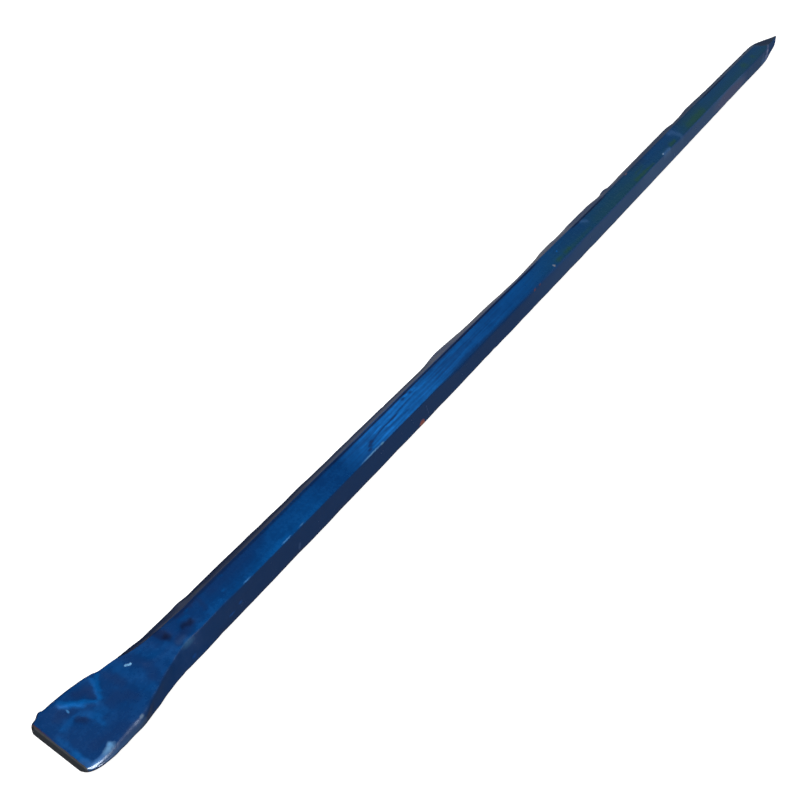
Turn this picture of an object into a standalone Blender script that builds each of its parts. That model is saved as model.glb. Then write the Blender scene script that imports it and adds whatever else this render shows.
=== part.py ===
"""Chisel and point crowbar, forged in one piece from hexagonal steel bar.

The bar lies along X on one of its flats, with the chisel blade at -X and the point at +X.
The origin is under the middle of the bar, on the surface that the bar lies on.
"""
import math

import bmesh
import bpy

# Bar
BAR_LENGTH = 1.500
BAR_FLATS = 0.028
BAR_CORNER_RADIUS = 0.0012

# Chisel blade
BLADE_WIDTH = 0.0450
BLADE_LENGTH = 0.028
BLADE_SIDE_CROWN = 0.0008
BLADE_SIDE_RADIUS = 0.0020
BLADE_CORNER_RADIUS = 0.0050
EDGE_THICKNESS = 0.0060

# Wedge that thins the bar down to the blade's edge
WEDGE_LENGTH = 0.120
WEDGE_BLEND = 0.012

# Flare from the blade to the bar, at the side corners and along the top and bottom flats
FLARE_LENGTH = 0.052
FLAT_FLARE_LENGTH = 0.060

# Six-sided forged point
POINT_LENGTH = 0.118
POINT_SWELL = 0.0018
TIP_FLATS = 0.0020

# Fineness of the faceted surface
CORNER_CHORDS = 3
PLAN_CORNER_STEPS = 5
BLADE_STEPS = 30
SHANK_STEPS = 14
POINT_STEPS = 20
SMOOTH_ANGLE = math.radians(28)

# Blue enamel over forged steel
ENAMEL_COLOUR = (0.009, 0.058, 0.195, 1.0)
ENAMEL_ROUGHNESS = 0.22
ENAMEL_METALLIC = 0.0

BAR_HALF_HEIGHT = BAR_FLATS / 2
BAR_HALF_WIDTH = BAR_FLATS / math.sqrt(3)
BAR_HALF_FLAT = BAR_HALF_WIDTH / 2


def mix(start, end, share):
    return start + (end - start) * share


def ease(share):
    """Rise smoothly from 0 to 1, level at both ends."""
    share = min(max(share, 0.0), 1.0)
    return share * share * (3 - 2 * share)


def blade_half_height(s):
    """Straight wedge from the edge, blended into the bar's flats; s runs from the edge."""
    slope = (BAR_FLATS - EDGE_THICKNESS) / 2 / WEDGE_LENGTH
    if s <= WEDGE_LENGTH - WEDGE_BLEND:
        return EDGE_THICKNESS / 2 + slope * s
    if s >= WEDGE_LENGTH + WEDGE_BLEND:
        return BAR_HALF_HEIGHT
    return BAR_HALF_HEIGHT - slope * (WEDGE_LENGTH + WEDGE_BLEND - s) ** 2 / (4 * WEDGE_BLEND)


def plan_corner_inset(s):
    """How far the rounded corner of the blade's edge draws its side in."""
    if s >= BLADE_CORNER_RADIUS:
        return 0.0
    reach = BLADE_CORNER_RADIUS - s
    return BLADE_CORNER_RADIUS - math.sqrt(BLADE_CORNER_RADIUS ** 2 - reach ** 2)


def blade_section(s):
    """Half width, half flat, half height and corner radius of the blade and shank."""
    inset = plan_corner_inset(s)
    flare = ease((s - BLADE_LENGTH) / FLARE_LENGTH)
    flat_flare = ease((s - BLADE_LENGTH) / FLAT_FLARE_LENGTH)
    half_width = mix(BLADE_WIDTH / 2, BAR_HALF_WIDTH, flare) - inset
    half_flat = mix(BLADE_WIDTH / 2 - BLADE_SIDE_CROWN, BAR_HALF_FLAT, flat_flare) - inset
    radius = mix(BLADE_SIDE_RADIUS, BAR_CORNER_RADIUS, flare)
    return half_width, half_flat, blade_half_height(s), radius


def point_section(p):
    """The same four sizes on the point; p runs from the tip."""
    share = p / POINT_LENGTH
    swell = POINT_SWELL * 4 * share * (1 - share)
    half_height = mix(TIP_FLATS / 2, BAR_HALF_HEIGHT, share) + swell
    half_width = half_height * BAR_HALF_WIDTH / BAR_HALF_HEIGHT
    return half_width, half_width / 2, half_height, BAR_CORNER_RADIUS * share


def rounded_corner(before, corner, after, radius):
    """Points of the arc that rounds one corner of an outline."""
    to_before = (before[0] - corner[0], before[1] - corner[1])
    to_after = (after[0] - corner[0], after[1] - corner[1])
    run_before = math.hypot(*to_before)
    run_after = math.hypot(*to_after)
    unit_before = (to_before[0] / run_before, to_before[1] / run_before)
    unit_after = (to_after[0] / run_after, to_after[1] / run_after)
    cosine = unit_before[0] * unit_after[0] + unit_before[1] * unit_after[1]
    half_angle = math.acos(max(-1.0, min(1.0, cosine))) / 2
    tangent = min(radius / math.tan(half_angle), 0.4 * min(run_before, run_after))
    arc_radius = tangent * math.tan(half_angle)
    bisector = (unit_before[0] + unit_after[0], unit_before[1] + unit_after[1])
    length = math.hypot(*bisector)
    reach = arc_radius / math.sin(half_angle)
    centre = (corner[0] + bisector[0] / length * reach, corner[1] + bisector[1] / length * reach)
    start = math.atan2(
        corner[1] + unit_before[1] * tangent - centre[1],
        corner[0] + unit_before[0] * tangent - centre[0],
    )
    turn = math.pi - 2 * half_angle
    points = []
    for step in range(CORNER_CHORDS + 1):
        angle = start + turn * step / CORNER_CHORDS
        points.append((centre[0] + arc_radius * math.cos(angle), centre[1] + arc_radius * math.sin(angle)))
    return points


def section_outline(half_width, half_flat, half_height, radius):
    """Six-cornered section with rounded corners, anticlockwise in Y and Z."""
    corners = [
        (half_width, 0.0),
        (half_flat, half_height),
        (-half_flat, half_height),
        (-half_width, 0.0),
        (-half_flat, -half_height),
        (half_flat, -half_height),
    ]
    outline = []
    for index, corner in enumerate(corners):
        before = corners[index - 1]
        after = corners[(index + 1) % len(corners)]
        outline.extend(rounded_corner(before, corner, after, radius))
    return outline


def stations():
    """Distance from the blade's edge and section sizes of each ring, from blade to tip."""
    flare_end = BLADE_LENGTH + max(FLARE_LENGTH, FLAT_FLARE_LENGTH)
    shaped_end = max(WEDGE_LENGTH + WEDGE_BLEND, flare_end)
    point_start = BAR_LENGTH - POINT_LENGTH
    places = []
    for step in range(PLAN_CORNER_STEPS):
        angle = math.pi / 2 * step / PLAN_CORNER_STEPS
        places.append(BLADE_CORNER_RADIUS * (1 - math.cos(angle)))
    for step in range(BLADE_STEPS):
        places.append(mix(BLADE_CORNER_RADIUS, shaped_end, step / BLADE_STEPS))
    for step in range(SHANK_STEPS):
        places.append(mix(shaped_end, point_start, step / SHANK_STEPS))
    rings = [(s, blade_section(s)) for s in places]
    for step in range(POINT_STEPS + 1):
        p = POINT_LENGTH * (1 - step / POINT_STEPS)
        rings.append((BAR_LENGTH - p, point_section(p)))
    return rings


def loft(bm, rings):
    """Skin the rings along X and close both ends."""
    skins = []
    for s, sizes in rings:
        outline = section_outline(*sizes)
        skins.append([bm.verts.new((s - BAR_LENGTH / 2, y, z)) for y, z in outline])
    count = len(skins[0])
    for ring, following in zip(skins, skins[1:]):
        for index in range(count):
            beside = (index + 1) % count
            bm.faces.new((ring[index], following[index], following[beside], ring[beside]))
    bm.faces.new(skins[0])
    bm.faces.new(reversed(skins[-1]))


def enamel():
    material = bpy.data.materials.new("blue_enamel")
    material.use_nodes = True
    shader = material.node_tree.nodes["Principled BSDF"]
    shader.inputs["Base Color"].default_value = ENAMEL_COLOUR
    shader.inputs["Roughness"].default_value = ENAMEL_ROUGHNESS
    shader.inputs["Metallic"].default_value = ENAMEL_METALLIC
    material.diffuse_color = ENAMEL_COLOUR
    return material


def forged_bar(collection):
    """The whole crowbar: blade, hexagonal shank and point are one forging."""
    mesh = bpy.data.meshes.new("forged_bar")
    bm = bmesh.new()
    loft(bm, stations())
    bmesh.ops.recalc_face_normals(bm, faces=bm.faces)
    bm.to_mesh(mesh)
    bm.free()
    mesh.shade_smooth()
    mesh.set_sharp_from_angle(angle=SMOOTH_ANGLE)
    mesh.materials.append(enamel())
    bar = bpy.data.objects.new("forged_bar", mesh)
    bar.location = (0.0, 0.0, BAR_HALF_HEIGHT)
    collection.objects.link(bar)
    return bar


def main():
    for old in list(bpy.data.objects):
        bpy.data.objects.remove(old, do_unlink=True)
    collection = bpy.data.collections.new("Crowbar")
    bpy.context.scene.collection.children.link(collection)
    forged_bar(collection)


main()
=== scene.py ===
"""Looks of the crowbar: one hammered forging in blue enamel, lying on a pale floor."""

import math
import random

import bpy
import bmesh
import numpy as np
from mathutils import Matrix, Vector, noise


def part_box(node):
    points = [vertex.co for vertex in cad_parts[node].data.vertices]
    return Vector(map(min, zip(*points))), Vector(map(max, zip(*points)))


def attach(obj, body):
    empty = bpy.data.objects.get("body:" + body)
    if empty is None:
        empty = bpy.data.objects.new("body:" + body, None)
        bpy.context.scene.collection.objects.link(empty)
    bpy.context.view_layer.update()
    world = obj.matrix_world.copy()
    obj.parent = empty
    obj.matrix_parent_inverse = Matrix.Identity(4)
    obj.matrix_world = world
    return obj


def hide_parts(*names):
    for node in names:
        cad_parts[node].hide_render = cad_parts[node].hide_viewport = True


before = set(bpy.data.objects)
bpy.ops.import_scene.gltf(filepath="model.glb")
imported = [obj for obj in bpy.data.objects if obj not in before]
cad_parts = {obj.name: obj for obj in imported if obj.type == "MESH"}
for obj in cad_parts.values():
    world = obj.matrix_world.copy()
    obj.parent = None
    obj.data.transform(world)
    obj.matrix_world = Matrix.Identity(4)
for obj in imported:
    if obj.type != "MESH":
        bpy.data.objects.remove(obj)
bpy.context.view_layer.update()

# All shape sizes below are in millimetres, measured from the cutting edge or from the tip.
MM = 0.001
BAR_LOW, BAR_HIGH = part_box("forged_bar")
LENGTH = (BAR_HIGH.x - BAR_LOW.x) / MM
HALF_HEIGHT = (BAR_HIGH.z - BAR_LOW.z) / 2 / MM
HALF_WIDTH = HALF_HEIGHT * 2 / math.sqrt(3)
HALF_FLAT = HALF_WIDTH / 2
EDGE_AT = BAR_LOW.x / MM
AXIS_HEIGHT = (BAR_HIGH.z + BAR_LOW.z) / 2 / MM

# Blade: a wedge, hammered out wider to the far side than to the near side, with a worn edge
EDGE_THICKNESS = 6.0
WEDGE_LENGTH = 120.0
WEDGE_BLEND = 12.0
EDGE_ROUNDING = 0.35
EDGE_WEAR = 0.3
WEAR_REACH = 30.0
# Half width at the side corners and at the rims of the flats, far and near: (place, half width)
FAR_SIDE = (
    (0.0, 21.4), (1.2, 23.2), (3.0, 24.3), (5.4, 24.7), (8.6, 26.1), (10.2, 25.3), (16.0, 24.8),
    (23.0, 24.1), (30.0, 23.3), (36.0, 22.8), (42.0, 21.3), (46.0, 19.7), (50.5, 19.0), (60.0, 18.8),
    (66.0, 18.3), (72.0, 17.8), (84.0, 16.5), (97.0, 16.3), (112.0, HALF_WIDTH),
)
NEAR_SIDE = (
    (0.0, 14.9), (1.4, 16.6), (4.7, 18.5), (10.0, 19.9), (20.0, 21.0), (28.0, 21.1), (37.0, 20.7),
    (43.0, 20.3), (49.0, 19.7), (55.0, 19.3), (61.0, 18.4), (68.0, 17.7), (75.0, 17.1), (86.0, 16.7),
    (100.0, 16.3), (115.0, HALF_WIDTH),
)
FAR_FLAT = (
    (0.0, 20.4), (1.2, 22.2), (3.0, 23.2), (5.4, 24.0), (8.6, 25.4), (10.2, 24.5), (16.0, 24.0),
    (23.0, 23.1), (30.0, 22.2), (37.0, 21.1), (42.0, 19.8), (46.0, 18.2), (56.0, 16.0), (66.0, 12.4),
    (76.0, 10.6), (88.0, 9.2), (110.0, 8.4), (140.0, HALF_FLAT),
)
NEAR_FLAT = (
    (0.0, 14.2), (1.4, 15.3), (4.7, 16.2), (10.0, 17.0), (16.0, 17.4), (22.0, 17.5), (28.0, 17.5),
    (34.0, 17.8), (39.0, 17.9), (46.0, 16.4), (52.0, 14.3), (58.0, 13.1), (64.0, 11.5), (70.0, 10.0),
    (77.0, 8.7), (84.0, 7.4), (92.0, 6.9), (102.0, 7.5), (123.0, 7.8), (145.0, HALF_FLAT),
    (400.0, HALF_FLAT), (450.0, 7.4), (620.0, 7.4), (680.0, HALF_FLAT), (1500.0, HALF_FLAT),
)
# How much narrower the underside of the blade is on its near side: (place, step)
NEAR_UNDERCUT = ((0.0, 2.6), (5.0, 2.0), (20.0, 2.0), (45.0, 0.0))
# Swell of the far upper side between its corners: (place, rise)
FAR_SWELL = ((0.0, 0.0), (104.0, 0.0), (124.0, 0.2), (1500.0, 0.2))
# Corner radii along the bar, at the sides and at the crests beside the top flat: (place, radius)
FAR_RADIUS = ((0.0, 0.8), (8.0, 2.0), (28.0, 2.0), (80.0, 1.2))
FAR_CREST_RADIUS = (
    (0.0, 0.8), (8.0, 2.0), (40.0, 1.6), (56.0, 0.8), (106.0, 0.8), (122.0, 4.0), (140.0, 4.0),
    (170.0, 2.0), (290.0, 1.3), (1500.0, 1.2),
)
NEAR_CREST_RADIUS = (
    (0.0, 3.0), (5.0, 7.0), (28.0, 7.0), (60.0, 3.0), (110.0, 1.4), (385.0, 1.2), (430.0, 6.0),
    (640.0, 6.0), (700.0, 2.4), (840.0, 2.4), (900.0, 1.4), (960.0, 1.4), (990.0, 4.5), (1090.0, 4.5),
    (1140.0, 1.6), (1240.0, 1.6), (1290.0, 4.5), (1380.0, 3.2), (1500.0, 1.2),
)
NEAR_RADIUS = ((0.0, 2.2), (28.0, 2.2), (80.0, 1.2))
# Largest share of a side that the rounding of one of its corners takes up
LARGEST_ROUNDING = 0.46

# The bar isn't quite straight, its middle bows to the near side: (place, shift across)
BOW = (
    (0.0, 0.3), (350.0, -0.8), (750.0, -1.1), (1050.0, -0.1), (1250.0, 0.5), (1400.0, 0.6), (1500.0, 0.3),
)

# Point: hand-forged faces as (turn from straight up towards the far side in degrees, taper, offset)
POINT_FACES = (
    (18.9, 0.121, 0.3),
    (-54.2, 0.090, 4.2),
    (-50.0, 0.150, 0.9),
    (-62.0, 0.104, 2.9),
    (-121.0, 0.058, 6.6),
    (-121.0, 0.23, 0.8),
    (180.0, 0.118, 0.6),
    (120.0, 0.125, 0.6),
    (60.0, 0.142, 0.6),
)
POINT_START = 150.0
POINT_BLEND = 20.0
FACE_SHARPNESS = 56.0
TIP_RADIUS = 1.1

# Fineness of the skin: steps round each corner and along each side of a ring
ARC_STEPS = 4
SIDE_SPANS = (10, 36, 10, 10, 36, 10)
# Rings on the rounded rim of the edge and round the blunt tip, whose rings start and end at these turns
RIM_RINGS = 5
TIP_RINGS = 5
TIP_TURNS = (-0.3, 1.25)
# Gap between the rings of the rim, blade, shank and point, and how far the blade's and point's reach
RIM_GAP = 0.6
BLADE_STEP = 0.9
SHANK_STEP = 3.5
POINT_STEP = 1.5
BLADE_REACH = 142.0
POINT_REACH = 126.0
TIP_GAP = 2.0
# Rings that fill the flat cutting face: their height as a share of its rim, and how much they narrow
CAP_RINGS = (0.0, 0.35, 0.7)
CAP_NARROWING = 0.12
MERGE_DISTANCE = 0.02
SMOOTH_ANGLE = 50.0


def mix(start, end, share):
    return start + (end - start) * share


def ease(share):
    """Rise smoothly from 0 to 1, level at both ends."""
    share = np.clip(share, 0.0, 1.0)
    return share * share * (3 - 2 * share)


def rise(value, start, run):
    """Rise smoothly from 0 at the start to 1 a run further on."""
    return ease((value - start) / run)


def bell(distance, reach):
    """1 at no distance, falling to nothing past the reach."""
    return np.exp(-((distance / reach) ** 2))


def smooth_line(points, at):
    """Cubic curve through a few points, level beyond its ends."""
    xs = np.array([p[0] for p in points])
    ys = np.array([p[1] for p in points])
    rises = np.diff(ys) / np.diff(xs)
    slopes = np.zeros(len(xs))
    steady = rises[:-1] * rises[1:] > 0
    slopes[1:-1][steady] = 2 / (1 / rises[:-1][steady] + 1 / rises[1:][steady])
    slopes[0] = rises[0]
    at = np.clip(at, xs[0], xs[-1])
    k = np.clip(np.searchsorted(xs, at, side="right") - 1, 0, len(xs) - 2)
    run = xs[k + 1] - xs[k]
    t = (at - xs[k]) / run
    return (
        ys[k] * (1 + 2 * t) * (1 - t) ** 2
        + ys[k + 1] * t * t * (3 - 2 * t)
        + run * t * (1 - t) * (slopes[k] * (1 - t) - slopes[k + 1] * t)
    )


def ring_places():
    """Distance of each ring from the cutting edge: close together where the bar is worked."""
    rim_turns = np.linspace(0, math.pi / 2, RIM_RINGS)
    rounding = [EDGE_ROUNDING * (1 - math.cos(turn)) for turn in rim_turns]
    blade = np.arange(EDGE_ROUNDING + RIM_GAP, BLADE_REACH, BLADE_STEP)
    shank = np.arange(BLADE_REACH + BLADE_STEP, LENGTH - POINT_REACH, SHANK_STEP)
    point = np.arange(LENGTH - POINT_REACH, LENGTH - TIP_GAP, POINT_STEP)
    tip_turns = np.linspace(*TIP_TURNS, TIP_RINGS)
    tip = [LENGTH - TIP_RADIUS * (1 - math.sin(turn)) for turn in tip_turns]
    return np.concatenate([rounding, blade, shank, point, tip])


def half_height(s):
    """Straight wedge from the edge, blended into the bar's flats."""
    slope = (HALF_HEIGHT - EDGE_THICKNESS / 2) / WEDGE_LENGTH
    wedge = EDGE_THICKNESS / 2 + slope * s
    blend = HALF_HEIGHT - slope * (WEDGE_LENGTH + WEDGE_BLEND - s) ** 2 / (4 * WEDGE_BLEND)
    height = np.where(s < WEDGE_LENGTH - WEDGE_BLEND, wedge, blend)
    return np.where(s > WEDGE_LENGTH + WEDGE_BLEND, HALF_HEIGHT, height)


def edge_inset(s):
    """How far the rounded rim of the cutting face draws the section in."""
    reach = np.clip(EDGE_ROUNDING - s, 0.0, EDGE_ROUNDING)
    return EDGE_ROUNDING - np.sqrt(EDGE_ROUNDING ** 2 - reach ** 2)


def bar_sections(s):
    """Rounded six-sided section of the blade and shank at each ring, as (rings, points, 2)."""
    inset = edge_inset(s)
    height = half_height(s) - inset
    far_side = smooth_line(FAR_SIDE, s) - inset
    near_side = smooth_line(NEAR_SIDE, s) - inset
    far_flat = smooth_line(FAR_FLAT, s) - inset
    near_flat = smooth_line(NEAR_FLAT, s) - inset
    level = np.zeros_like(s)
    corners = (
        (far_side, level),
        (far_flat, height),
        (-near_flat, height),
        (-near_side, level),
        (smooth_line(NEAR_UNDERCUT, s) - near_flat, -height),
        (far_flat, -height),
    )
    corners = np.stack([np.stack(corner, axis=1) for corner in corners], axis=1)
    lines = (FAR_RADIUS, FAR_CREST_RADIUS, NEAR_CREST_RADIUS, NEAR_RADIUS, NEAR_RADIUS, FAR_RADIUS)
    radii = np.stack([smooth_line(line, s) for line in lines], axis=1)
    return rounded_sections(corners, radii, smooth_line(FAR_SWELL, s))


def rounded_sections(corners, radii, far_swell):
    """Outline points of each section: an arc at each corner, then even steps along the side."""
    to_before = np.roll(corners, 1, axis=1) - corners
    to_after = np.roll(corners, -1, axis=1) - corners
    run_before = np.linalg.norm(to_before, axis=2)
    run_after = np.linalg.norm(to_after, axis=2)
    unit_before = to_before / run_before[..., None]
    unit_after = to_after / run_after[..., None]
    cosine = np.clip((unit_before * unit_after).sum(axis=2), -1.0, 1.0)
    half_angle = np.arccos(cosine) / 2
    longest = LARGEST_ROUNDING * np.minimum(run_before, run_after)
    tangent = np.minimum(radii / np.tan(half_angle), longest)
    starts = corners + unit_before * tangent[..., None]
    ends = corners + unit_after * tangent[..., None]
    columns = []
    for side, spans in enumerate(SIDE_SPANS):
        for step in range(ARC_STEPS + 1):
            t = step / ARC_STEPS
            columns.append(
                (1 - t) ** 2 * starts[:, side] + 2 * t * (1 - t) * corners[:, side] + t * t * ends[:, side]
            )
        following = starts[:, (side + 1) % len(SIDE_SPANS)]
        swell = far_swell[:, None] if side == 0 else 0.0
        run = following - ends[:, side]
        outward = np.stack([run[:, 1], -run[:, 0]], axis=1) / np.linalg.norm(run, axis=1)[:, None]
        for step in range(1, spans):
            t = step / spans
            columns.append(ends[:, side] + run * t + outward * swell * 4 * t * (1 - t))
    return np.stack(columns, axis=1)


def point_sections(s, directions):
    """Section of the forged point: the soft least reach to its faces along each direction."""
    p = LENGTH - s
    faces = [(60.0 * k, 0.0, HALF_HEIGHT) for k in range(6)]
    faces += POINT_FACES
    closeness = np.zeros((len(s), len(directions)))
    for turn, taper, offset in faces:
        angle = math.radians(turn)
        facing = directions @ np.array([math.sin(angle), math.cos(angle)])
        near = np.clip(facing, 0.0, None)[None, :] / (offset + taper * p)[:, None]
        closeness += near ** FACE_SHARPNESS
    radius = closeness ** (-1 / FACE_SHARPNESS)
    blunt = np.sqrt(np.clip(1 - (1 - np.clip(p / TIP_RADIUS, 0.0, 1.0)) ** 2, 0.0, 1.0))
    return directions[None, :, :] * (radius * blunt[:, None])[..., None]


def bare_skin():
    """Rings of the forging before any hammer mark, as (rings, points, 3)."""
    s = ring_places()
    outline = bar_sections(s)
    shank = bar_sections(np.array([LENGTH / 2]))[0]
    directions = shank / np.linalg.norm(shank, axis=1)[:, None]
    point = point_sections(s, directions)
    share = rise(s, LENGTH - POINT_START, POINT_BLEND)[:, None, None]
    outline = mix(outline, point, share)
    skin = np.empty((*outline.shape[:2], 3))
    skin[..., 0] = s[:, None]
    skin[..., 1:] = outline
    return skin


def skin_normals(skin):
    """Unit normals of the ring grid, facing out."""
    along = np.gradient(skin, axis=0)
    around = np.roll(skin, -1, axis=1) - np.roll(skin, 1, axis=1)
    normals = np.cross(along, around)
    return -normals / np.maximum(np.linalg.norm(normals, axis=2), 1e-9)[..., None]


def noise_over(places, scales):
    """Blender's own gradient noise at each place, with one feature size in mm for each axis."""
    flat = (places / np.array(scales)).reshape(-1, 3)
    values = [noise.noise(Vector(p)) for p in flat.tolist()]
    return np.array(values).reshape(places.shape[:2])


# Marks on the top of the blade: (rise, width, points), each point a place from the edge and across
BLADE_RIDGES = (
    (0.28, 1.7, ((17.8, 19.6), (21.0, 15.6), (25.4, 12.2), (31.0, 6.2))),
    (0.28, 1.7, ((41.5, 19.5), (36.5, 12.0), (33.5, 6.2))),
    (0.15, 1.3, ((42.6, 17.6), (36.6, 10.6))),
    (0.30, 4.5, ((49.0, 13.5), (56.1, 1.1), (62.0, -5.0))),
    (0.30, 2.2, ((66.0, 2.0), (78.0, -2.0), (91.0, -0.5))),
)
BLADE_HOLLOWS = (
    (-0.22, 2.8, ((19.6, 4.6), (17.6, 7.0))),
    (-0.30, 4.5, ((31.0, 15.5), (33.0, 19.0))),
    (-0.20, 7.0, ((28.0, -4.0), (44.0, -3.0))),
    (-0.40, 3.4, ((82.5, 8.5), (84.5, 4.6), (85.5, 2.0))),
    (-0.40, 2.8, ((96.5, 0.8), (101.5, -1.2))),
    (-0.30, 5.0, ((70.0, 8.0), (74.0, 5.0))),
)
# Painted ridge highlights and rim sheen (bright), painted shade in the hollows (dull), other tones: (tone,
# width, points)
SHEEN_AND_SHADE_STROKES = (
    (0.95, 1.8, ((17.6, 19.6), (20.4, 16.7), (23.8, 13.2), (27.3, 10.7), (30.7, 7.4))),
    (0.50, 1.5, ((16.4, 18.8), (19.5, 15.8), (24.5, 11.0))),
    (0.95, 1.3, ((39.4, 17.4), (36.2, 12.0), (33.9, 6.8))),
    (0.85, 1.1, ((42.6, 17.0), (39.2, 13.0), (37.4, 9.6))),
    (0.50, 2.1, ((9.0, 8.8), (15.9, 10.4), (22.9, 5.8), (25.4, 0.2), (24.4, -4.0))),
    (0.35, 3.4, ((29.0, 2.0), (33.0, 0.0))),
    (0.45, 2.1, ((3.8, 7.0), (2.8, -13.0))),
    (0.45, 1.9, ((3.2, -5.0), (2.8, -14.0))),
    (0.22, 4.6, ((51.0, 14.5), (55.0, 1.0), (57.0, -11.0))),
    (0.25, 6.0, ((68.4, 8.5), (77.0, -1.0), (80.0, -6.0))),
    (0.80, 1.1, ((104.0, 6.1), (106.0, 5.7))),
    (0.45, 1.8, ((97.5, 4.6), (102.5, 3.0))),
    (0.60, 1.0, ((136.0, 6.2), (138.0, 5.8))),
    (0.50, 0.9, ((129.5, -1.8), (131.0, -1.8))),
    (0.28, 2.4, ((84.0, -8.4), (96.0, -7.2), (150.0, -6.8), (190.0, -6.8))),
    (0.30, 3.0, ((114.0, -3.0), (123.0, -4.0))),
    (-0.80, 2.2, ((19.6, 4.4), (17.6, 7.0))),
    (-0.60, 2.2, ((10.5, 15.5), (14.6, 16.2), (17.0, 12.8))),
    (-0.85, 3.0, ((27.5, 17.5), (33.0, 15.0), (31.5, 11.0))),
    (-0.60, 3.4, ((35.5, 0.5), (40.5, 1.4), (46.5, -5.9))),
    (-0.40, 3.4, ((12.0, -9.0), (22.2, -11.4), (30.0, -13.5))),
    (-0.50, 3.0, ((47.0, 12.0), (48.5, 4.0))),
    (-0.40, 3.0, ((62.0, 12.0), (66.0, 1.0), (62.0, -8.0))),
    (-1.30, 2.9, ((83.0, 11.0), (85.0, 4.6))),
    (-0.90, 2.4, ((87.0, -3.4), (92.0, -2.0), (100.0, -1.6))),
    (-0.90, 2.0, ((98.0, 7.6), (112.0, 7.4))),
    (-0.60, 1.5, ((115.2, 6.0), (114.6, 0.0), (113.4, -2.1))),
    (-0.35, 4.0, ((125.0, 4.5), (160.0, 4.0), (178.0, 5.5))),
    (-0.70, 3.0, ((866.0, 5.4), (902.0, 4.2))),
    (-0.60, 3.4, ((1022.0, 5.0), (1104.0, 4.6))),
)
# Streaks left by single bristles: (tone, width, points)
BRISTLE_STREAKS = (
    (-1.5, 1.0, ((297.3, -5.5), (300.8, -3.1), (304.0, -1.9))),
    (-1.4, 0.5, ((303.0, -2.5), (324.0, -0.7), (331.0, -1.0), (339.0, -1.0))),
    (-0.9, 0.5, ((344.5, 0.2), (376.0, 0.9))),
    (-0.8, 0.45, ((319.0, -3.8), (353.7, -4.6))),
    (-1.3, 0.7, ((335.0, -1.0), (342.0, -0.8))),
    (-1.6, 0.8, ((357.5, 4.2), (362.0, 3.8))),
    (-1.6, 0.8, ((366.0, 6.2), (369.0, 5.0), (371.3, 3.2))),
    (0.5, 0.7, ((292.0, -0.2), (303.0, -0.4))),
    (0.5, 0.9, ((312.0, 0.4), (322.0, 1.2))),
    (0.5, 0.8, ((327.0, -2.6), (350.0, -2.8))),
    (0.6, 0.9, ((362.0, 4.6), (377.0, 3.9))),
    (0.4, 0.9, ((322.0, 3.0), (336.0, 1.6))),
    (0.4, 0.7, ((300.0, -6.4), (330.0, -5.7))),
    (-0.5, 0.5, ((395.0, 1.2), (436.0, 2.4))),
)
# Painted shade in the hammer hollows of the neck and blade: (share, width, points)
PAINTED_SHADE_PATCHES = (
    (0.35, 2.7, ((83.4, 11.5), (84.6, 5.0))),
    (0.50, 1.8, ((84.6, 4.2), (85.4, 1.6))),
    (0.70, 1.7, ((96.2, 1.0), (99.4, -0.4), (101.8, -0.7))),
    (0.25, 2.0, ((17.0, 6.8), (19.8, 4.2))),
)
# Pale painted sheen and reflections on the enamel, paler than the gloss: (share, width, points)
PALE_SHEEN_STROKES = (
    (0.25, 2.4, ((1.5, -10.5), (3.0, -14.0))),
    (0.60, 1.2, ((11.0, -18.8), (20.0, -19.6), (30.0, -19.8), (42.0, -19.4))),
    (0.14, 1.8, ((86.5, -4.0), (91.0, -4.4))),
    (0.30, 2.2, ((716.0, 6.4), (724.0, 0.6))),
    (0.45, 2.6, ((938.0, -8.4), (958.0, -8.4))),
    (0.26, 5.0, ((990.0, 6.4), (997.0, 4.9), (1002.0, -4.0), (1002.0, -7.0))),
    (0.50, 3.0, ((1366.0, -14.0), (1374.0, -12.0))),
)
# The same pale painted reflection all over the near facet: (place, share)
PALE_SHEEN_FACET = (
    (540.0, 0.0), (640.0, 0.25), (700.0, 0.35), (830.0, 0.4), (900.0, 0.6), (1010.0, 0.45), (1120.0, 0.5),
    (1170.0, 0.7), (1245.0, 0.7), (1290.0, 0.25), (1360.0, 0.2), (1500.0, 0.35),
)
# Painted reflection of grey surroundings on the top flat, greener and duller towards the point: (place,
# share)
PAINTED_VEIL = (
    (260.0, 0.0), (400.0, 0.05), (560.0, 0.15), (640.0, 0.42), (680.0, 0.44), (710.0, 0.4), (740.0, 0.6),
    (785.0, 0.66), (840.0, 0.66), (880.0, 0.56), (900.0, 0.42), (960.0, 0.42), (996.0, 0.4), (1015.0, 0.55),
    (1040.0, 0.7), (1090.0, 0.7), (1125.0, 0.58), (1240.0, 0.6), (1500.0, 0.55),
)
# Painted reflections of green things, greener than the rest: (share, width, points)
GREEN_REFLECTIONS = (
    (0.28, 2.2, ((638.0, -6.4), (641.0, -6.2))),
    (0.30, 2.6, ((655.0, -5.6), (664.0, -5.4))),
    (0.22, 2.2, ((632.0, -6.6), (718.0, -6.8))),
    (0.45, 1.5, ((850.0, -6.2), (906.0, -6.4))),
    (0.25, 1.3, ((862.0, -0.6), (888.0, 1.0))),
    (0.55, 2.4, ((966.0, -5.6), (983.0, -5.7))),
    (0.25, 5.0, ((1036.0, -3.5), (1098.0, -3.6))),
    (0.20, 3.0, ((1060.0, -4.0), (1086.0, -4.0))),
    (0.35, 4.0, ((1287.0, 1.2), (1300.0, -0.6))),
    (0.28, 2.8, ((1333.0, 0.2), (1343.0, -0.6))),
)
# Tone of the top flat along the bar; the rise past 290, strongest near 335, is a painted sheen of the key:
# (place, tone)
TOP_TONE = (
    (0.0, 0.0), (60.0, 0.05), (92.0, -0.1), (120.0, -0.1), (150.0, -0.05), (185.0, 0.3), (225.0, 0.3),
    (245.0, 0.05), (268.0, 0.15), (294.0, 0.8), (335.0, 1.2), (385.0, 1.0), (415.0, 0.6), (480.0, 0.4),
    (560.0, 0.4), (620.0, 0.25), (700.0, 0.0), (1500.0, 0.0),
)
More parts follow.
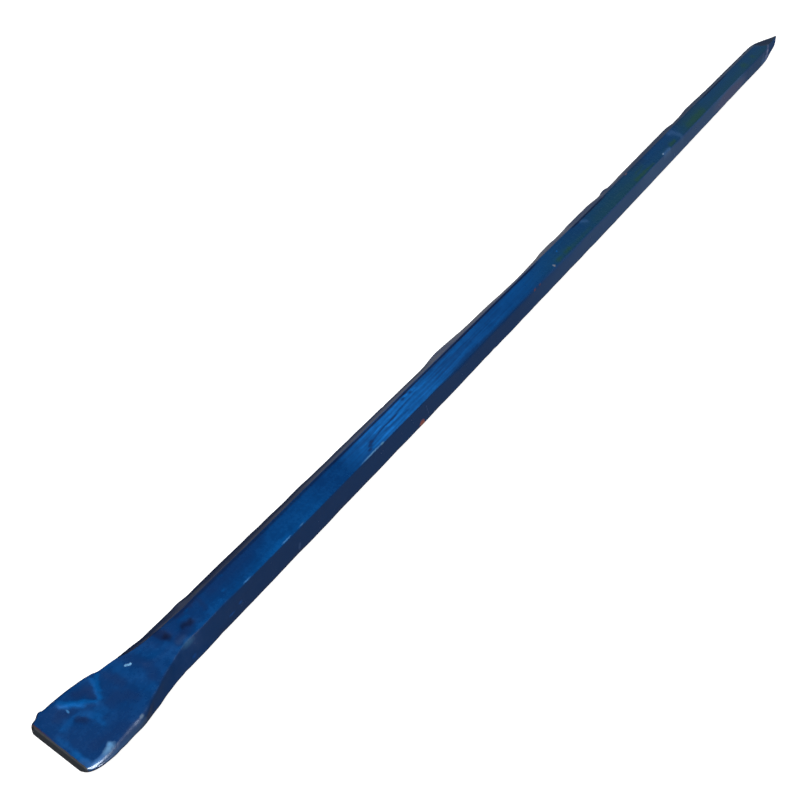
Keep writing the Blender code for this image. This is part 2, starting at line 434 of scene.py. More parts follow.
# Painted shade: a dark line along the far top corner, which mirrors dark surroundings: (place, share)
CORNER_SHADE_LINE = (
    (80.0, 0.0), (110.0, 0.5), (250.0, 0.6), (290.0, 0.95), (600.0, 0.95), (628.0, 0.1), (690.0, 0.1),
    (706.0, 0.9), (775.0, 0.9), (795.0, 0.3), (1000.0, 0.2), (1120.0, 0.3), (1145.0, 0.9), (1210.0, 0.9),
    (1245.0, 0.2), (1500.0, 0.1),
)
# Swellings and hollows along the far corner: (place, rise)
FAR_WAVES = (
    (0.0, 0.0), (106.0, 0.0), (113.5, 0.45), (125.0, 0.0), (200.0, -0.1), (224.0, -0.4), (244.0, -0.1),
    (264.0, -0.4), (300.0, -0.3), (415.0, -0.7), (443.0, 0.9), (466.0, 0.1), (494.0, -0.8), (521.0, -1.0),
    (593.0, -2.6), (636.0, -1.4), (655.0, -0.1), (675.0, 0.1), (697.0, -0.4), (726.0, 0.6), (772.0, 0.5),
    (806.0, -0.7), (813.0, 0.4), (820.0, 0.8), (829.0, -0.9), (845.0, -0.8), (874.0, -0.2), (1028.0, 0.6),
    (1056.0, -1.0), (1082.0, -0.5), (1106.0, 0.5), (1200.0, -0.4), (1400.0, 0.0),
)
FAR_WAVE_REACH = 7.0
# Random knocks on the long corners: ranges of their depth and reach
NICKS = 52
NICK_DEPTHS = (0.1, 0.32)
NICK_REACHES = (1.2, 2.6)
NICK_STRETCH = (0.5, 1.0, 1.0)
# Random dents of the blade with its neck, and one in four on the shank: ranges of place, reach, depth
DENTS = 46
SHANK_DENT_EVERY = 4
BLADE_DENTS = ((4.0, 125.0), (4.0, 9.0), (0.12, 0.34))
SHANK_DENTS = ((130.0, LENGTH - 20.0), (5.0, 16.0), (0.03, 0.09))
DENT_STRETCH = (0.8, 1.0, 1.0)
RANDOM_SEED = 11
# Where the hammered blade fades into the rolled shank, and where the hammered point starts: (start, run)
BLADE_END = (60.0, 90.0)
POINT_BEGIN = (LENGTH - 130.0, 60.0)
# Unevenness of the skin: (shift of the pattern, feature size, height on the shank, on the worked ends)
UNEVENNESS = (
    (0.0, (42.0, 20.0, 20.0), 0.16, 0.5),
    (300.0, (9.0, 6.0, 6.0), 0.03, 0.12),
    (700.0, (70.0, 1.1, 1.1), 0.05, 0.0),
)
WOBBLE_SHIFT = 1200.0
WOBBLE_SIZE = (16.0, 30.0, 30.0)
WOBBLE_HEIGHT = 0.22
# All relief fades in over this length from the cutting edge, and from the tip
EDGE_FADE = 3.0
TIP_FADE = 8.0
# Upward part of the normal that marks and paint strokes need to show: (start, run)
MARKED_TOP = (0.55, 0.3)
PAINTED_TOP = (0.55, 0.4)
MARK_SHARPNESS = 2.0
STROKE_SHARPNESS = 3.0
# Wander of the strokes: its feature size, and its reach along the blade, along the bar and across
WANDER_SIZE = (3.5, 3.5, 3.5)
WANDER_SHIFTS = (2100.0, 2500.0)
WANDER_ALONG = (1.3, 4.0)
WANDER_GROWS = (300.0, 500.0)
WANDER_ACROSS = 1.2
# Past the neck the top is brighter towards the near side: the middle and reach of this, and its slope
LEAN_AT = 170.0
LEAN_REACH = 90.0
LEAN = 0.03
# The painted reflection is this much fainter towards the far side, over this width
FAR_VEIL = 0.7
VEIL_WIDTH = 12.0
# Far and near facets by the sideways and the upward part of their normals: (start, run) of each
FAR_FACET = ((0.35, 0.3), (-0.3, 0.4))
NEAR_FACET = ((0.45, 0.3), (-0.1, 0.3))
# Shade of the far facet at the blade, of its middle, and what is added towards the point: (start, run)
BLADE_SHADE = 0.65
MIDDLE_SHADE = 0.3
ADDED_SHADE = 0.3
BLADE_SHADE_ENDS = (200.0, 120.0)
ADDED_SHADE_GROWS = (700.0, 300.0)
# Shade of the point's faces: (1 for far or -1 for near, (start, run) of its facing and along, share)
POINT_SHADES = (
    (1, (0.15, 0.2), (1385.0, 15.0), 0.85),
    (-1, (0.3, 0.2), (1402.0, 12.0), 0.2),
)
DARKEST = 0.95
# How far inside the far top corner the painted shade line lies, and its width
CORNER_SHADE_INSET = 0.9
CORNER_SHADE_WIDTH = 0.9
# The pale painted sheen strokes stay above this height from the middle of the bar
PALE_SHEEN_ABOVE = -1.0
# Bristle streaks show fully between these places, and faintly past them: (start, run)
STREAKS_BEGIN = (262.0, 40.0)
STREAKS_END = (380.0, 260.0)
FAINT_STREAKS = 0.2
# Mottling of the sides beside that of the top, and what is left of it towards the point: (start, run)
SIDE_MOTTLE = 0.1
POINT_MOTTLE = 0.12
MOTTLE_ENDS = (400.0, 260.0)


def along_path(s, y, points, width, sharpness):
    """How near each place is to a broken line, 1 on it and falling off over the width."""
    nearest = np.full(s.shape, 1e9)
    for (s0, y0), (s1, y1) in zip(points, points[1:]):
        run = (s1 - s0) ** 2 + (y1 - y0) ** 2
        share = np.clip(((s - s0) * (s1 - s0) + (y - y0) * (y1 - y0)) / run, 0.0, 1.0)
        nearest = np.minimum(nearest, np.hypot(s - mix(s0, s1, share), y - mix(y0, y1, share)))
    return np.exp(-((nearest / width) ** sharpness))


def stroked(field, s, y, strokes, sharpness):
    """The field with every stroke of a list added to it."""
    for strength, width, points in strokes:
        field = field + strength * along_path(s, y, points, width, sharpness)
    return field


def blade_marks(skin, normals):
    """Height of the ridges and hollows that the hammer left on the top of the blade and neck."""
    marks = BLADE_RIDGES + BLADE_HOLLOWS
    height = stroked(np.zeros(skin.shape[:2]), skin[..., 0], skin[..., 1], marks, MARK_SHARPNESS)
    return height * rise(normals[..., 2], *MARKED_TOP)


def scattered_dents(skin, draw):
    """Shallow dents all over the blade and its neck, and a few along the shank."""
    height = np.zeros(skin.shape[:2])
    for number in range(1, DENTS + 1):
        places, reaches, depths = BLADE_DENTS if number % SHANK_DENT_EVERY else SHANK_DENTS
        place = draw.uniform(*places)
        spot = skin[np.abs(skin[:, 0, 0] - place).argmin(), draw.randrange(skin.shape[1])]
        reach = draw.uniform(*reaches)
        depth = draw.uniform(*depths)
        height -= depth * bell(np.linalg.norm((skin - spot) * DENT_STRETCH, axis=2), reach)
    return height


def corner_columns():
    """Which points of a ring lie on its six rounded corners, and where each corner's middle is."""
    share = []
    middles = []
    for spans in SIDE_SPANS:
        middles.append(len(share) + ARC_STEPS // 2)
        share += [1 - abs(step / ARC_STEPS - 0.5) for step in range(ARC_STEPS + 1)]
        share += [0.0] * (spans - 1)
    return np.array(share), middles


def edge_nicks(skin, draw):
    """Small knocks on the long corners."""
    height = np.zeros(skin.shape[:2])
    _, middles = corner_columns()
    for _ in range(NICKS):
        column = draw.choice(middles)
        spot = skin[draw.randrange(skin.shape[0]), column]
        away = np.linalg.norm((skin - spot) * NICK_STRETCH, axis=2)
        height -= draw.uniform(*NICK_DEPTHS) * bell(away, draw.uniform(*NICK_REACHES))
    return height


def relief(skin, normals):
    """Everything that the hammer and rolls left on the surface, in mm along the normal."""
    draw = random.Random(RANDOM_SEED)
    s = skin[..., 0]
    worked = np.clip(1 - rise(s, *BLADE_END) + rise(s, *POINT_BEGIN), 0.0, 1.0)
    corners, middles = corner_columns()
    height = np.zeros(s.shape)
    for shift, size, on_shank, on_ends in UNEVENNESS:
        height += noise_over(skin + shift, size) * mix(on_shank, on_ends, worked)
    height += noise_over(skin + WOBBLE_SHIFT, WOBBLE_SIZE) * corners[None, :] * WOBBLE_HEIGHT
    height += blade_marks(skin, normals)
    height += scattered_dents(skin, draw) + edge_nicks(skin, draw)
    from_far_corner = np.linalg.norm(skin[..., 1:] - skin[:, middles[0]][:, None, 1:], axis=2)
    height += smooth_line(FAR_WAVES, s) * bell(from_far_corner, FAR_WAVE_REACH)
    return height * (ease(s / EDGE_FADE) * ease((LENGTH - s) / TIP_FADE))


def paint_fields(skin, normals):
    """Tone with its painted highlights, painted shade, painted reflections and pale painted sheen of the
    enamel at each point of the skin.
    """
    place = skin[..., 0]
    across = skin[..., 1] + smooth_line(BOW, place)
    sideways, upward = normals[..., 1], normals[..., 2]
    top = rise(upward, *PAINTED_TOP)
    drift = mix(*WANDER_ALONG, rise(place, *WANDER_GROWS))
    s = place + noise_over(skin + WANDER_SHIFTS[0], WANDER_SIZE) * drift
    y = across + noise_over(skin + WANDER_SHIFTS[1], WANDER_SIZE) * WANDER_ACROSS
    tone = smooth_line(TOP_TONE, s) - bell(s - LEAN_AT, LEAN_REACH) * LEAN * y
    # Painted highlights, sheen and shade from the strokes, then the bristle streaks
    tone = stroked(tone, s, y, SHEEN_AND_SHADE_STROKES, STROKE_SHARPNESS)
    tone = stroked(tone, place, across, BRISTLE_STREAKS, STROKE_SHARPNESS)
    # Painted shade in the hollows of the neck and blade
    shade = stroked(np.zeros(s.shape), s, y, PAINTED_SHADE_PATCHES, STROKE_SHARPNESS)
    # Painted reflection of the surroundings on the top, greener and duller towards the point
    veil_share = smooth_line(PAINTED_VEIL, s) * mix(FAR_VEIL, 1.0, ease(0.5 - y / VEIL_WIDTH))
    veil_share = stroked(veil_share, s, y, GREEN_REFLECTIONS, MARK_SHARPNESS)
    # Painted shade on the far facet and on the point's faces
    far_facet = rise(sideways, *FAR_FACET[0]) * rise(upward, *FAR_FACET[1])
    along_facet = mix(BLADE_SHADE, MIDDLE_SHADE, rise(s, *BLADE_SHADE_ENDS))
    facet_shade = far_facet * (along_facet + ADDED_SHADE * rise(s, *ADDED_SHADE_GROWS))
    point_shade = np.zeros(s.shape)
    for side, facing, reach, share in POINT_SHADES:
        point_shade += rise(side * sideways, *facing) * rise(s, *reach) * share
    _, middles = corner_columns()
    # Painted shade line just inside the far top corner
    line_at = skin[:, middles[1]][:, None, 1:] - np.array([CORNER_SHADE_INSET, 0.0])
    from_line = np.linalg.norm(skin[..., 1:] - line_at, axis=2)
    corner_shade = np.exp(-((from_line / CORNER_SHADE_WIDTH) ** 3)) * smooth_line(CORNER_SHADE_LINE, place)
    # Pale painted reflection on the near facet, and strokes of pale painted sheen
    near_facet = rise(-sideways, *NEAR_FACET[0]) * rise(upward, *NEAR_FACET[1])
    sheen_share = near_facet * smooth_line(PALE_SHEEN_FACET, s)
    stroked_sheen = stroked(sheen_share, place, across, PALE_SHEEN_STROKES, STROKE_SHARPNESS)
    sheen_share = np.where(skin[..., 2] > PALE_SHEEN_ABOVE, stroked_sheen, sheen_share)
    # All the painted shade: in the hollows, on the far facet and point, and along the far top corner
    shade = shade * top + np.maximum(facet_shade, point_shade) + corner_shade
    streaks = rise(s, *STREAKS_BEGIN) * (1 - rise(s, *STREAKS_END))
    mottle = mix(SIDE_MOTTLE, 1.0, top) * mix(1.0, POINT_MOTTLE, rise(s, *MOTTLE_ENDS))
    return {
        "tone": tone * top,
        "shade": np.clip(shade, 0.0, DARKEST),
        "veil_share": veil_share * top,
        "sheen_share": np.clip(sheen_share, 0.0, 1.0),
        "streaks": top * mix(FAINT_STREAKS, 1.0, streaks),
        "mottled": mottle,
    }


def capped_mesh(name, skin, fields):
    """Closed mesh over the rings: the flat cutting face at one end, the tip at the other."""
    count = skin.shape[1]
    skin = skin.copy()
    skin[..., 0] += EDGE_WEAR * (1 - ease(skin[..., 0] / WEAR_REACH))
    rim = skin[0]
    middle = rim[:, 1].mean()
    cap = []
    for share in CAP_RINGS:
        inner = rim.copy()
        inner[:, 1] = mix(middle, rim[:, 1], 1 - CAP_NARROWING * (1 - share))
        inner[:, 2] *= share
        cap.append(inner)
    layers = np.concatenate([np.array(cap), skin])
    tip = (LENGTH, skin[-1, :, 1].mean(), skin[-1, :, 2].mean())
    verts = np.concatenate([layers.reshape(-1, 3), [tip]])
    faces = []
    for ring in range(len(layers) - 1):
        here, following = ring * count, (ring + 1) * count
        for k in range(count):
            beside = (k + 1) % count
            faces.append((here + k, following + k, following + beside, here + beside))
    last = (len(layers) - 1) * count
    for k in range(count):
        faces.append((last + k, len(verts) - 1, last + (k + 1) % count))
    mesh = bpy.data.meshes.new(name)
    mesh.from_pydata(((verts + (EDGE_AT, 0.0, AXIS_HEIGHT)) * MM).tolist(), [], faces)
    for label, field in fields.items():
        values = np.concatenate([np.repeat(field[:1], len(cap), axis=0), field]).reshape(-1)
        layer = mesh.attributes.new(label, "FLOAT", "POINT")
        layer.data.foreach_set("value", np.append(values, values[-1]).astype(np.float32))
    bm = bmesh.new()
    bm.from_mesh(mesh)
    bmesh.ops.remove_doubles(bm, verts=bm.verts, dist=MERGE_DISTANCE * MM)
    bmesh.ops.recalc_face_normals(bm, faces=bm.faces)
    bm.to_mesh(mesh)
    bm.free()
    return mesh


def forged_bar():
    """The whole forging, from the cutting edge to the tip."""
    skin = bare_skin()
    normals = skin_normals(skin)
    fields = paint_fields(skin, normals)
    skin = skin + normals * relief(skin, normals)[..., None]
    skin[..., 1] += smooth_line(BOW, skin[..., 0])
    mesh = capped_mesh("forging", skin, fields)
    mesh.shade_smooth()
    mesh.set_sharp_from_angle(angle=math.radians(SMOOTH_ANGLE))
    bar = bpy.data.objects.new("enamelled_forging", mesh)
    bpy.context.scene.collection.objects.link(bar)
    mesh.materials.append(gloss_enamel())
    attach(bar, "root")
    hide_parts("forged_bar")


def linear(code):
    """sRGB hex code as a linear colour."""
    channels = [int(code[k:k + 2], 16) / 255 for k in (0, 2, 4)]
    return (*[c / 12.92 if c <= 0.04045 else ((c + 0.055) / 1.055) ** 2.4 for c in channels], 1.0)


def add(tree, kind, links=None, values=None, **settings):
    """Add a node with its settings, its values by socket, and its links from other sockets."""
    node = tree.nodes.new(kind)
    for name, value in settings.items():
        setattr(node, name, value)
    for socket, value in (values or {}).items():
        node.inputs[socket].default_value = value
    for socket, source in (links or {}).items():
        tree.links.new(source, node.inputs[socket])
    return node


def fill_ramp(ramp, stops):
    """Give a colour ramp its stops, each as (position, hex code)."""
    elements = ramp.color_ramp.elements
    while len(elements) < len(stops):
        elements.new(0.5)
    for element, (position, code) in zip(elements, stops):
        element.position = position
        element.color = linear(code)


# Enamel from dull to bright and the tones this spans; dull also gives painted shade, bright painted
# highlights and sheen
ENAMEL_STOPS = (
    (0.0, "0F2F60"), (0.278, "03376F"), (0.556, "02549A"), (0.778, "0E6EC2"), (1.0, "2488E4"),
)
TONE_LOW = -1.0
TONE_HIGH = 2.6
# Colours of painted shade, painted reflection and pale painted sheen, and of what heat and wear made of
# enamel and steel
PAINTED_SHADE_NAVY = "0A1230"
VEIL_COLOUR = "1E4644"
PALE_SHEEN_COLOUR = "4A72A6"
BARE_STEEL = "32363C"
SCORCHED_ENAMEL = "4A302B"
SOOTY_ENAMEL = "1E1E22"
# Reach of the bare, sooty and scorched rims from the edge: (where it is gone, where it is full)
BARE_REACH = (0.55, 0.42)
SOOTY_REACH = (1.3, 1.05)
SCORCHED_REACH = (2.1, 1.3)
SCORCHED_ACROSS = (8.0, 20.0)
RIM_WANDER = 0.9
# Sizes of the patterns in mm: slow unevenness of a thick coat, grain of the dried coat, marks of the
# brush and ragged rims of the chips. Real grain and bristle marks are finer, and wouldn't show.
PER_METRE = 1000
MOTTLE_SIZE = 9.0
GRAIN_SIZE = 2.2
BRISTLE_LENGTH = 46.0
BRISTLE_GAP = 1.5
BRISTLE_SLANT = 2.5
RAGGED_SIZE = 1.6
RAGGED_REACH = 1.0
# How far each pattern moves the tone, the painted reflection and the roughness
MOTTLE_TONE = 0.7
GRAIN_TONE = 0.55
BRISTLE_TONE = 2.4
MOTTLE_VEIL = 0.3
MOTTLE_ROUGHNESS = 0.12
GRAIN_ROUGHNESS = 0.12
STREAK_ROUGHNESS = 0.17
ENAMEL_IOR = 1.5
ENAMEL_ROUGHNESS = 0.24
SOOTY_ROUGHNESS = 0.8
BARE_METALLIC = 0.3
BRISTLE_RELIEF = 0.8
RELIEF_STRENGTH = 0.13
RELIEF_HEIGHT = 0.2
# Chips, spots, scratches and painted highlights and glints: (place, across, height, half length, half
# width, colour, softness)
CHIPS_AND_GLINTS = (
    # Painted highlight of the softbox on the near bevel of the blade, with its flame
    (5.0, -16.2, 17.1, 7.0, 1.2, "5088C8", 1.8),
    (16.2, -15.5, 17.5, 3.3, 1.3, "6C9ECC", 1.5),
    (17.9, -14.2, 18.3, 1.3, 1.1, "5C94C8", 1.4),
    # Pale patch on the near top corner of the neck
    (90.2, -8.7, 24.8, 3.8, 1.7, "346896", 1.5),
    # Painted reflection on the far facet at the neck
    (123.0, 11.2, 22.6, 5.0, 1.6, "3A4250", 1.7),
    # Painted glints on the blade
    (40.5, -17.1, 20.0, 1.5, 1.1, "66809E", 0.8),
    (57.2, 9.2, 22.3, 1.0, 0.8, "7CB4E0", 0.6),
    (58.3, 8.5, 22.4, 1.0, 0.8, "7CB4E0", 0.6),
    (59.4, 7.8, 22.5, 1.0, 0.8, "7CB4E0", 0.6),
    (17.9, 14.3, 18.6, 0.6, 1.1, "3C78B0", 0.8),
    # Painted glints along the near top corner
    (146.4, -7.9, 28.0, 3.4, 0.4, "3C78B4", 0.9),
    (189.0, -7.9, 28.0, 4.2, 0.45, "4480BA", 0.9),
    (206.0, -7.9, 28.0, 2.4, 0.4, "34689E", 0.9),
    (294.0, -8.4, 28.0, 11.0, 0.5, "5484B0", 0.9),
    (308.8, -8.6, 27.8, 2.2, 0.7, "5484A8", 0.9),
    # Orange chip and pink spots in the enamel
    (363.9, -15.7, 14.4, 3.9, 3.0, "B4604E", 0.5),
    (578.2, -10.4, 26.3, 3.0, 1.2, "74484C", 0.9),
    (589.4, -10.3, 26.4, 2.0, 1.1, "6C4650", 0.9),
    # Painted glint on the near top corner
    (624.6, -6.4, 28.0, 1.0, 0.8, "74849A", 1.0),
    (625.8, -7.8, 28.0, 1.8, 0.9, "8C8C90", 0.9),
    # Blue and pink spots in the enamel
    (648.0, 0.7, 28.0, 1.2, 0.7, "0A5CAA", 0.9),
    (781.9, 7.5, 27.8, 4.0, 0.7, "5E5464", 1.0),
    (850.2, 6.9, 28.0, 3.0, 0.9, "64545E", 1.0),
    # Painted glint on the top
    (937.4, -6.9, 28.0, 1.8, 0.7, "8CA8C4", 1.0),
    # Blue marks on the near side
    (90.7, -14.8, 17.4, 2.0, 1.0, "0850A0", 1.0),
    (127.1, -13.8, 19.2, 2.6, 0.7, "0850A0", 1.0),
    (136.1, -12.9, 20.7, 1.6, 0.8, "0850A0", 1.0),
    # Faint scratches
    (198.8, -14.8, 17.3, 1.0, 1.1, "34568C", 1.4),
    (199.8, -14.0, 18.8, 1.0, 1.1, "34568C", 1.4),
    (374.6, -14.4, 17.9, 0.8, 1.1, "2E4C80", 1.4),
    (373.6, -12.9, 20.6, 0.8, 1.1, "2E4C80", 1.4),
    (372.9, -11.6, 23.0, 0.8, 1.1, "2E4C80", 1.4),
    # Painted reflection: a paler, greyer stretch of the near facet
    (1204.0, -12.4, 20.0, 66.0, 7.0, "5A5E8A", 0.6),
    # Painted highlight along the near ridge of the point
    (1384.0, -13.4, 16.0, 8.0, 2.4, "4C74B8", 1.2),
    (1393.0, -11.6, 18.8, 9.0, 2.4, "8C98C8", 1.2),
    (1401.0, -8.6, 22.4, 8.0, 2.4, "A8A8CC", 1.2),
    (1408.0, -5.2, 25.6, 6.5, 1.8, "8C94BC", 1.1),
)


def gloss_enamel():
    """Brushed gloss enamel over forged steel, worn off the edge; painted highlights, sheen, reflections and
    shade tint its colour.
    """
    material = bpy.data.materials.new("gloss_enamel_on_forged_steel")
    material.use_nodes = True
    tree = material.node_tree
    shader = tree.nodes["Principled BSDF"]
    shader.inputs["IOR"].default_value = ENAMEL_IOR

    def plus(total, pattern, reach, middle=0.5):
        """Total raised where the pattern is above its middle and lowered where it is below."""
        step = add(
            tree, "ShaderNodeMath", {0: pattern}, {1: reach, 2: -reach * middle}, operation="MULTIPLY_ADD"
        ).outputs[0]
        return add(tree, "ShaderNodeMath", {0: total, 1: step}, operation="ADD").outputs[0]

    place = add(tree, "ShaderNodeTexCoord").outputs["Object"]
    tone, shade, veil_share, sheen_share, streaky, mottled = [
        add(tree, "ShaderNodeAttribute", attribute_name=name).outputs["Fac"]
        for name in ("tone", "shade", "veil_share", "sheen_share", "streaks", "mottled")
    ]
    mottle = add(
        tree, "ShaderNodeTexNoise", {"Vector": place}, {"Scale": PER_METRE / MOTTLE_SIZE, "Detail": 3.0}
    ).outputs["Fac"]
    grain = add(
        tree, "ShaderNodeTexNoise", {"Vector": place},
        {"Scale": PER_METRE / GRAIN_SIZE, "Detail": 4.0, "Roughness": 0.6},
    ).outputs["Fac"]
    stretched = add(
        tree, "ShaderNodeMapping", {"Vector": place}, {
            "Rotation": (0.0, 0.0, math.radians(BRISTLE_SLANT)),
            "Scale": [PER_METRE / size for size in (BRISTLE_LENGTH, BRISTLE_GAP, BRISTLE_GAP)],
        },
    ).outputs["Vector"]
    bristle = add(
        tree, "ShaderNodeTexNoise", {"Vector": stretched}, {"Scale": 1.0, "Detail": 3.0}
    ).outputs["Fac"]

    # Tone of the fresh coat, with the patterns where they show
    uneven = plus(plus(tone, mottle, MOTTLE_TONE), grain, GRAIN_TONE)
    tone = add(tree, "ShaderNodeMix", {"Factor": mottled, 2: tone, 3: uneven}).outputs[0]
    brushed = plus(tone, bristle, BRISTLE_TONE)
    tone = add(tree, "ShaderNodeMix", {"Factor": streaky, 2: tone, 3: brushed}).outputs[0]
    level = add(
        tree, "ShaderNodeMapRange", {"Value": tone}, {"From Min": TONE_LOW, "From Max": TONE_HIGH}
    ).outputs[0]
    ramp = add(tree, "ShaderNodeValToRGB", {"Fac": level})
    fill_ramp(ramp, ENAMEL_STOPS)

    # What lies on the coat, one thing over the other, painted reflection, sheen, shade and glints among
    # them: (colour, share)
    patchy = add(tree, "ShaderNodeMath", {0: veil_share, 1: mottle}, operation="MULTIPLY").outputs[0]
    coats = [
        (VEIL_COLOUR, plus(veil_share, patchy, MOTTLE_VEIL, 0.4)),
        (PALE_SHEEN_COLOUR, sheen_share),
        (PAINTED_SHADE_NAVY, shade),
    ]
    rough_rim = add(
        tree, "ShaderNodeTexNoise", {"Vector": place}, {"Scale": PER_METRE / RAGGED_SIZE, "Detail": 2.0}
    ).outputs["Color"]
    shift = add(
        tree, "ShaderNodeVectorMath", {0: rough_rim},
        {1: [RAGGED_REACH * MM] * 3, 2: [-RAGGED_REACH * MM / 2] * 3}, operation="MULTIPLY_ADD",
    ).outputs[0]
    ragged = add(tree, "ShaderNodeVectorMath", {0: place, 1: shift}, operation="ADD").outputs[0]
    for s, y, z, half_length, half_width, code, softness in CHIPS_AND_GLINTS:
        centre = Vector((EDGE_AT + s, y, z)) * MM
        shrink = [1 / half / MM for half in (half_length, half_width, half_width)]
        away = add(tree, "ShaderNodeVectorMath", {0: ragged}, {1: centre}, operation="SUBTRACT").outputs[0]
        away = add(tree, "ShaderNodeVectorMath", {0: away}, {1: shrink}, operation="MULTIPLY").outputs[0]
        away = add(tree, "ShaderNodeVectorMath", {0: away}, operation="LENGTH").outputs["Value"]
        share = add(
            tree, "ShaderNodeMapRange", {"Value": away},
            {"From Min": 1.0 + softness / 2, "From Max": 1.0 - softness / 2},
        ).outputs[0]
        coats.append((code, share))
    split = add(tree, "ShaderNodeSeparateXYZ", {"Vector": place})
    along = plus(split.outputs["X"], grain, RIM_WANDER * MM)
    bare, sooty, scorched = [
        add(
            tree, "ShaderNodeMapRange", {"Value": along},
            {"From Min": (EDGE_AT + gone) * MM, "From Max": (EDGE_AT + full) * MM},
        ).outputs[0]
        for gone, full in (BARE_REACH, SOOTY_REACH, SCORCHED_REACH)
    ]
    across = add(
        tree, "ShaderNodeMapRange", {"Value": split.outputs["Y"]},
        {"From Min": SCORCHED_ACROSS[0] * MM, "From Max": SCORCHED_ACROSS[1] * MM},
    ).outputs[0]
    scorched = add(tree, "ShaderNodeMath", {0: scorched, 1: across}, operation="MULTIPLY").outputs[0]
    coats += [(SCORCHED_ENAMEL, scorched), (SOOTY_ENAMEL, sooty), (BARE_STEEL, bare)]
    colour = ramp.outputs["Color"]
    for code, share in coats:
        colour = add(
            tree, "ShaderNodeMix", {"Factor": share, 6: colour}, {7: linear(code)}, data_type="RGBA"
        ).outputs[2]
    tree.links.new(colour, shader.inputs["Base Color"])

    rough = add(
        tree, "ShaderNodeMapRange", {"Value": sooty},
        {"To Min": ENAMEL_ROUGHNESS, "To Max": SOOTY_ROUGHNESS},
    ).outputs[0]
    rough = plus(plus(rough, mottle, MOTTLE_ROUGHNESS), grain, GRAIN_ROUGHNESS)
    tree.links.new(plus(rough, streaky, STREAK_ROUGHNESS, 0.0), shader.inputs["Roughness"])
    metallic = add(tree, "ShaderNodeMath", {0: bare}, {1: BARE_METALLIC}, operation="MULTIPLY").outputs[0]
    tree.links.new(metallic, shader.inputs["Metallic"])
    bump = add(
        tree, "ShaderNodeBump", {"Height": plus(grain, bristle, BRISTLE_RELIEF)},
        {"Strength": RELIEF_STRENGTH, "Distance": RELIEF_HEIGHT * MM},
    )
    tree.links.new(bump.outputs["Normal"], shader.inputs["Normal"])
    return material


# Light: a broad soft key high behind the camera, and a small softbox low on the near side
KEY_FROM = (-0.45, 0.12, 0.88)
KEY_STRENGTH = 3.4
KEY_SPREAD = 24.0
EDGE_BOX_AT = (-0.80, -0.79, 0.46)
EDGE_BOX_AIM = (-0.73, -0.015, 0.014)
EDGE_BOX_SIZE = (0.40, 0.62)
EDGE_BOX_POWER = 25.0
EDGE_BOX_COLOUR = (0.88, 0.95, 1.0)
# Studio: a lit table just under the bar and a paper backdrop round it, both in metres
FLOOR_SIZE = 14.0
FLOOR_HEIGHT = -0.0005
TABLE_WHITE = "A8A8A8"
TABLE_GLOW = 0.99
BACKDROP_RADIUS = 12.0
BACKDROP_GLOW = 1.0
# What the gloss mirrors: (height of the view direction, colour), from straight down to straight up
SURROUNDINGS = (
    (-1.0, "24262A"), (-0.62, "1A1C20"), (-0.56, "1A1E24"), (-0.53, "3C4046"), (-0.503, "868684"),
    (-0.44, "8C8C88"), (-0.39, "9C9A94"), (-0.35, "808286"), (-0.315, "4A5058"), (-0.24, "565E66"),
    (-0.20, "6C767E"), (-0.14, "6C7C88"), (-0.06, "4C5860"), (0.02, "404854"), (0.25, "404854"),
    (0.5, "343A44"), (0.65, "1C2028"), (1.0, "0C0E10"),
)
# Blue sheet beyond the point, as seen from the bar, and the cosines of its rim and of its full colour
SHEET_TOWARDS = (0.975, -0.120, -0.185)
SHEET_COLOUR = "224270"
SHEET_RIM = 0.988
SHEET_FULL = 0.996


def plain_white(name, colour, strength):
    """Matt surface that glows white, as a lit studio table does, so that the shadow stays pale."""
    material = bpy.data.materials.new(name)
    material.use_nodes = True
    tree = material.node_tree
    shader = tree.nodes["Principled BSDF"]
    shader.inputs["Base Color"].default_value = linear(colour)
    shader.inputs["Roughness"].default_value = 1.0
    shader.inputs["Specular IOR Level"].default_value = 0.0
    shader.inputs["Emission Color"].default_value = (1.0, 1.0, 1.0, 1.0)
    shader.inputs["Emission Strength"].default_value = strength
    return material


def floor_and_backdrop():
    """Pale floor that takes the shadow, and a pale backdrop past its edge. Neither shows in the gloss."""
    bpy.ops.mesh.primitive_plane_add(size=FLOOR_SIZE)
    floor = bpy.context.object
    floor.name = "floor"
    floor.location.z = FLOOR_HEIGHT
    floor.data.materials.append(plain_white("lit_studio_table", TABLE_WHITE, TABLE_GLOW))
    bpy.ops.mesh.primitive_uv_sphere_add(radius=BACKDROP_RADIUS, segments=48, ring_count=24)
    backdrop = bpy.context.object
    backdrop.name = "backdrop"
    backdrop.data.materials.append(plain_white("backdrop_paper", "000000", BACKDROP_GLOW))
    backdrop.visible_shadow = False
    for stage in (floor, backdrop):
        stage.visible_glossy = False
        stage.visible_diffuse = False


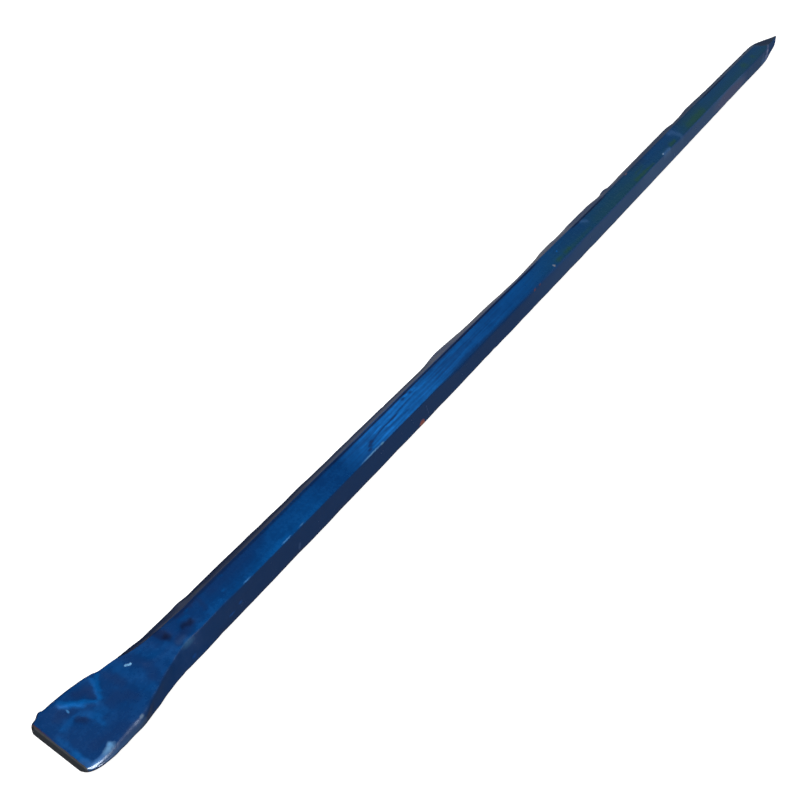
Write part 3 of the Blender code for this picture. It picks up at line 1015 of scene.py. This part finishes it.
def surroundings():
    """Dim workshop that the gloss mirrors: dark overhead, a grey ground, a blue sheet past the point."""
    world = bpy.data.worlds.new("workshop")
    world.use_nodes = True
    tree = world.node_tree
    place = add(tree, "ShaderNodeTexCoord").outputs["Generated"]
    height = add(tree, "ShaderNodeSeparateXYZ", {"Vector": place}).outputs["Z"]
    share = add(tree, "ShaderNodeMapRange", {"Value": height}, {"From Min": -1.0}).outputs[0]
    ramp = add(tree, "ShaderNodeValToRGB", {"Fac": share})
    fill_ramp(ramp, [((level + 1) / 2, code) for level, code in SURROUNDINGS])
    towards = add(
        tree, "ShaderNodeVectorMath", {0: place}, {1: SHEET_TOWARDS}, operation="DOT_PRODUCT"
    ).outputs["Value"]
    sheet = add(
        tree, "ShaderNodeMapRange", {"Value": towards}, {"From Min": SHEET_RIM, "From Max": SHEET_FULL}
    ).outputs[0]
    colour = add(
        tree, "ShaderNodeMix", {"Factor": sheet, 6: ramp.outputs["Color"]}, {7: linear(SHEET_COLOUR)},
        data_type="RGBA",
    ).outputs[2]
    tree.links.new(colour, tree.nodes["Background"].inputs["Color"])
    bpy.context.scene.world = world


def lights():
    """The soft key, and the softbox that glints along the near side of the blade."""
    key = bpy.data.lights.new("key", "SUN")
    key.energy = KEY_STRENGTH
    key.angle = math.radians(KEY_SPREAD)
    lamp = bpy.data.objects.new("key", key)
    lamp.rotation_euler = Vector(KEY_FROM).to_track_quat("Z", "Y").to_euler()
    bpy.context.scene.collection.objects.link(lamp)
    box = bpy.data.lights.new("edge_softbox", "AREA")
    box.shape = "RECTANGLE"
    box.size, box.size_y = EDGE_BOX_SIZE
    box.energy = EDGE_BOX_POWER
    box.color = EDGE_BOX_COLOUR
    lamp = bpy.data.objects.new("edge_softbox", box)
    lamp.location = EDGE_BOX_AT
    lamp.visible_diffuse = False
    facing = Vector(EDGE_BOX_AT) - Vector(EDGE_BOX_AIM)
    lamp.rotation_euler = facing.to_track_quat("Z", "Y").to_euler()
    bpy.context.scene.collection.objects.link(lamp)


# Camera: a normal lens close over the blade, looking along the bar
CAMERA_AT = (-1.01390, -0.15354, 0.58151)
CAMERA_FORWARD = (0.733440, 0.186982, -0.653531)
CAMERA_UP = (0.478187, 0.541381, 0.691551)
CAMERA_LENS = 51.894
CAMERA_SENSOR = 36.0
CAMERA_CLIP = (0.01, 60.0)


def camera():
    """The camera, turned to look forward with its own up."""
    data = bpy.data.cameras.new("camera")
    data.lens = CAMERA_LENS
    data.sensor_width = CAMERA_SENSOR
    data.clip_start, data.clip_end = CAMERA_CLIP
    eye = bpy.data.objects.new("camera", data)
    back = -Vector(CAMERA_FORWARD).normalized()
    right = Vector(CAMERA_UP).cross(back).normalized()
    up = back.cross(right)
    turn = Matrix((right, up, back)).transposed().to_4x4()
    eye.matrix_world = Matrix.Translation(CAMERA_AT) @ turn
    bpy.context.scene.collection.objects.link(eye)
    bpy.context.scene.camera = eye


forged_bar()
floor_and_backdrop()
surroundings()
lights()
camera()
bpy.context.scene.view_settings.view_transform = "Standard"
